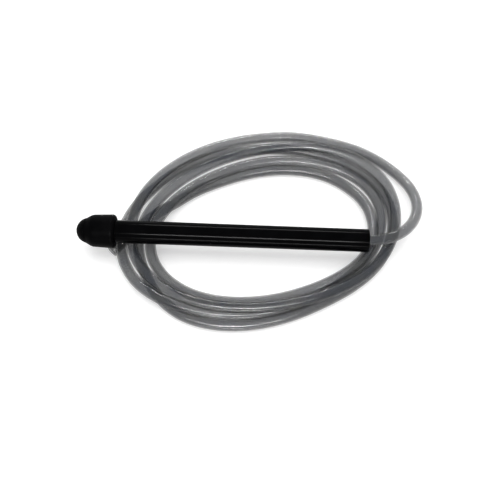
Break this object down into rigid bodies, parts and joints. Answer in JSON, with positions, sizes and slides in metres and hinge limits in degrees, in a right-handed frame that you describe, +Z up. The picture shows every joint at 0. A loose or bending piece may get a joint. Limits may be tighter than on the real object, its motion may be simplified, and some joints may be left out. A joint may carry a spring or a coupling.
{
  "type": "gear oil hand pump",
  "caption": "Slender hand pump for gear oil: plain round barrel with a domed foot and collar, hollow piston rod inside, and a long clear hose coiled under it.",
  "frame": {"origin": "middle of the pump on the barrel's axis, halfway between the inlet's rim and the barrel's open mouth", "axes": "+X along the barrel's axis, from the domed foot towards the open mouth and the hose; +Z up from the surface that the coiled hose lies on"},
  "size_m": [0.3907, 0.2604, 0.0566],
  "materials": {
    "barrel_black": "glossy black tube",
    "foot_black": "satin black moulding",
    "clear_vinyl": "smooth, slightly grey, see-through",
    "seal_rubber": "dull black",
    "valve_steel": "polished ball",
    "spring_steel": "drawn wire and pressed sheet",
    "fitting_brass": "turned",
    "rod_aluminium": "drawn tube, clear anodised",
    "guide_plastic": "natural acetal",
    "piston_plastic": "black acetal"
  },
  "bodies": {
    "rod_and_hose": {"hollow_rod": "rod_aluminium", "piston_head": "piston_plastic", "piston_cup": "seal_rubber", "piston_guide_ring": "guide_plastic", "piston_spring": "spring_steel", "piston_pin": "spring_steel", "rod_bumper": "seal_rubber", "hose_barb": "fitting_brass", "barb_gasket": "seal_rubber", "hose_lead": "clear_vinyl", "hose_coil": "clear_vinyl", "hose_tail": "clear_vinyl"},
    "barrel_and_foot": {"barrel": "barrel_black", "foot_dome": "foot_black", "collar_nut": "foot_black", "collar_gasket": "seal_rubber", "intake_strainer": "spring_steel", "foot_seat": "fitting_brass", "foot_cage": "guide_plastic", "foot_spring": "spring_steel", "rod_bush": "guide_plastic", "rod_wiper": "seal_rubber", "bush_clip": "spring_steel"},
    "foot_ball": {"foot_ball": "valve_steel"},
    "piston_ball": {"piston_ball": "valve_steel"}
  },
  "joints": [
    {"name": "pump_stroke", "type": "slide", "parent": "rod_and_hose", "child": "barrel_and_foot", "axis": [-1, 0, 0], "range_m": [0, 0.2]},
    {"name": "foot_ball_lift", "type": "slide", "parent": "barrel_and_foot", "child": "foot_ball", "axis": [1, 0, 0], "range_m": [0, 0.003], "stiffness_N_per_m": 20, "springref_m": -0.002, "deforming": ["foot_spring"]},
    {"name": "piston_ball_lift", "type": "slide", "parent": "rod_and_hose", "child": "piston_ball", "axis": [1, 0, 0], "range_m": [0, 0.0025], "stiffness_N_per_m": 20, "springref_m": -0.002, "deforming": ["piston_spring"]}
  ]
}
